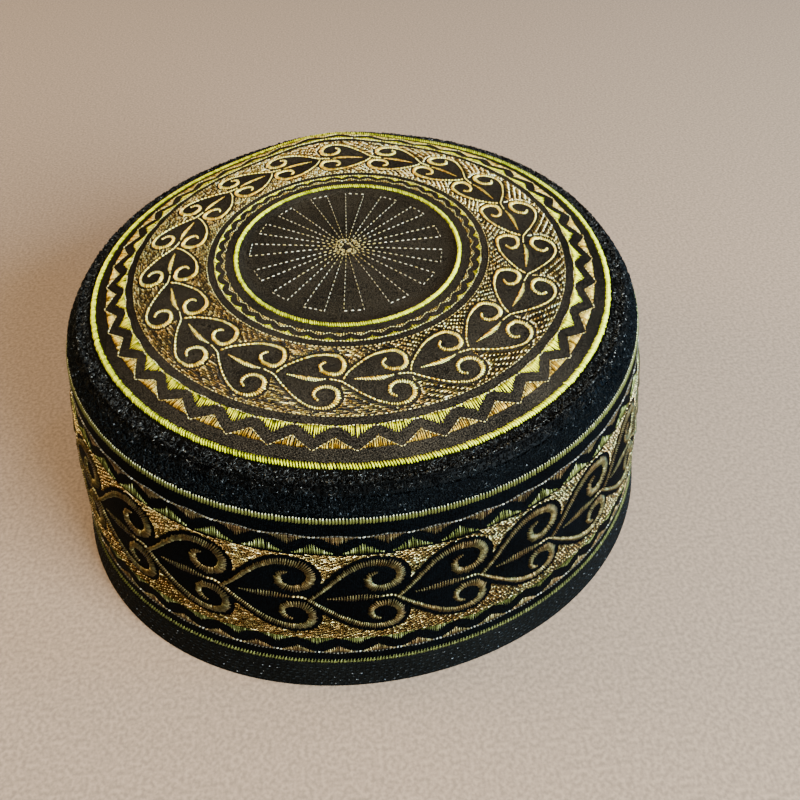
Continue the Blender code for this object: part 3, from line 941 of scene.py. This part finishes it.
# Running stitches: the medallion's petals and the fine lines of the zigzags
petals = {"first": -86.6, "middle": (-0.2, 1), "inner": 2.6, "outer": 27.8, "width": 11.7,
          "root": 9.5, "dash": 0.95, "gap": 0.72,
          "astray": [-2.1, 0.9, 1.3, -0.7, -0.5, 1.3, 1, 0.3, -0.6, 1, -0.8, -2, 0.4, 0.5, -0.7]}
chance = np.random.default_rng(61)
petalRows = []
for index, astray in enumerate(petals["astray"]):
    turn = math.radians(petals["first"] + index * 360 / len(petals["astray"]) + astray)
    half = math.radians(petals["width"] / 2 + chance.normal(0, 0.25))
    root = math.radians(petals["root"] / 2)
    outer = petals["outer"] + chance.normal(0, 0.12)
    angles = turn + np.array([-root, -half, half, root])
    reach = np.array([petals["inner"], outer, outer + chance.normal(0, 0.2), petals["inner"]])
    corners = petals["middle"] + columns(reach * np.cos(angles), reach * np.sin(angles))
    for start, end in zip(corners, corners[1:]):
        angle, level = polar(start + np.linspace(0, 1, 12)[:, None] * (end - start))
        petalRows.append(dashedLine(columns(np.unwrap(angle), level, level), petals["dash"], petals["gap"],
                                    0.18, 0.26, (0.4, 1), chance))
petalRows = np.concatenate(petalRows)
petalRows[:, 6] *= np.clip((petalRows[:, 1] - 2) / 10, 0.3, 1)    # golden near the middle
# the tangle at the medallion's middle
knots = {"count": 80, "inner": 1.3, "outer": 3.9, "length": 0.8}
angle = chance.uniform(0, math.tau, knots["count"])
reach = chance.uniform(knots["inner"], knots["outer"], knots["count"])
facing = angle + math.pi / 2 + chance.normal(0, 0.4, knots["count"])
places = petals["middle"] + columns(reach * np.cos(angle), reach * np.sin(angle))
step = columns(np.cos(facing), np.sin(facing)) * knots["length"] / 2
knotRows = columns(*polar(places - step), *polar(places + step), 0.24, 0.3,
                   chance.uniform(0.1, 0.5, knots["count"]))
sewn("medallionStitches", {**crownTop, "drift": None},
     shaken(np.concatenate([petalRows, knotRows]), 0.03, 0.05, chance), flatThread, "petalThread")

creamLines = [
    # a line, then dash, gap, width, rise and tones
    (zigzagLine(crownInner, 0, 35.1, 36.3, 35.7), 0.5, 0.3, 0.2, 0.22, (0.1, 0.8)),
    (zigzagLine(crownInner, 0, 38.35, 38.1, 38.2), 0.6, 0.3, 0.22, 0.24, (0.2, 0.9)),
    (zigzagLine(crownOuter, 0, 66.9, 70.1, 69), 0.7, 0.28, 0.26, 0.24, (0.1, 0.8)),
    (zigzagLine(crownOuter, 0.5, 63.8, 64.3, 64.1), 0.7, 0.25, 0.28, 0.26, (0.3, 1)),
    (ringLine(40.5, 40.5), 0.8, 0.35, 0.26, 0.24, (0, 0.7)),
    (ringLine(61.6, 61.6), 0.8, 0.35, 0.26, 0.24, (0, 0.7)),
]
creamRows = np.concatenate([dashedLine(*line, chance) for line in creamLines])
sewn("crownRunning", crownTop, shaken(creamRows, 0.03, 0.1, chance), flatThread, "creamThread")

valleyRows = []
for zigzag, low, high, radius, dash, gap, width in ((sideUpper, 64.2, 63.5, 85, 1, 0.12, 0.24),
                                                    (sideLower, 16.7, 17.3, 91, 0.7, 0.35, 0.26)):
    line = zigzagLine(zigzag, 0, low, high, radius)
    rows = dashedLine(line, dash, gap, width, 0.36, (0, 0.4), chance)
    first, count = zigzag
    away = np.angle(np.exp(1j * count * ((rows[:, 0] + rows[:, 2]) / 2 - math.radians(first))))
    rows[:, 6] += 0.8 * hump(away, 0.6)    # bright where the tents meet
    valleyRows.append(rows)
sewn("sideRunning", sideFace, shaken(np.concatenate(valleyRows), 0.03, 0.1, chance), flatThread,
     "valleyThread")
print("running stitches sewn")

for piece in bpy.context.scene.objects:
    if piece.type == "MESH" and piece.parent is None and "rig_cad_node" not in piece:
        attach(piece, "root")

# Floor, light and camera
floorColour = np.array([0.205, 0.134, 0.088])
bpy.ops.mesh.primitive_plane_add(size=8)
floor = bpy.context.object
floor.name = "floor"
floorFinish, floorTree = newFinish("floorFinish")
floorNap = noiseAt(floorTree, placeOf(floorTree), 900, 3)
joined(floorTree.nodes["Principled BSDF"], {
    "Base Color": rampNode(floorTree, floorNap, [(0.36, *0.72 * floorColour), (0.64, *1.18 * floorColour)]),
    "Roughness": 0.9})
floor.data.materials.append(floorFinish)
floor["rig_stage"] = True

lights = {
    # name: place, size, power, colour
    "windowPanel": ((0.84, -0.84, 0.58), 0.7, 120, (0.76, 0.92, 1)),
    "lampPanel": ((-1.11, 0.29, 0.57), 0.55, 22, (1, 0.78, 0.4)),
    "frontPanel": ((-0.26, -0.79, 1), 0.35, 10, (1, 0.82, 0.5)),
    "lowPanel": ((1.25, -0.22, 0.27), 0.3, 24, (0.12, 0.52, 1)),
    "skyPanel": ((0.05, 0.1, 1.5), 0.8, 13, (1, 0.97, 0.92)),
    "spotRight": ((0.65, 0.35, 1.2), 0.05, 3.3, (0.92, 0.97, 1)),
}
for name, (place, size, power, colour) in lights.items():
    lamp = bpy.data.lights.new(name, "AREA")
    lamp.size = size
    lamp.energy = power
    lamp.color = colour
    holder = linked(name, lamp)
    holder.location = place
    holder.rotation_euler = (Vector((0, 0, 0.05)) - Vector(place)).to_track_quat("-Z", "Y").to_euler()
world = bpy.data.worlds.new("studio")
world.use_nodes = True
joined(world.node_tree.nodes["Background"], {"Color": (0.9, 0.92, 0.95, 1), "Strength": 0.07})
bpy.context.scene.world = world

cameraSettings = {"place": (0.00006, -0.19600917, 0.22834039), "turn": (42.96409, 1.33051, -5.48657),
                  "lens": 36.9, "sensor": 36}
lens = bpy.data.cameras.new("camera")
lens.lens = cameraSettings["lens"]
lens.sensor_width = cameraSettings["sensor"]
lens.clip_start = 0.01
camera = linked("camera", lens)
camera.location = cameraSettings["place"]
camera.rotation_euler = Euler([math.radians(part) for part in cameraSettings["turn"]], "XYZ")
bpy.context.scene.camera = camera

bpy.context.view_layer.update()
shown = [sum(len(face.vertices) - 2 for face in piece.data.polygons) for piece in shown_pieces()]
print("scene ready,", sum(shown), "triangles in", len(shown), "pieces")
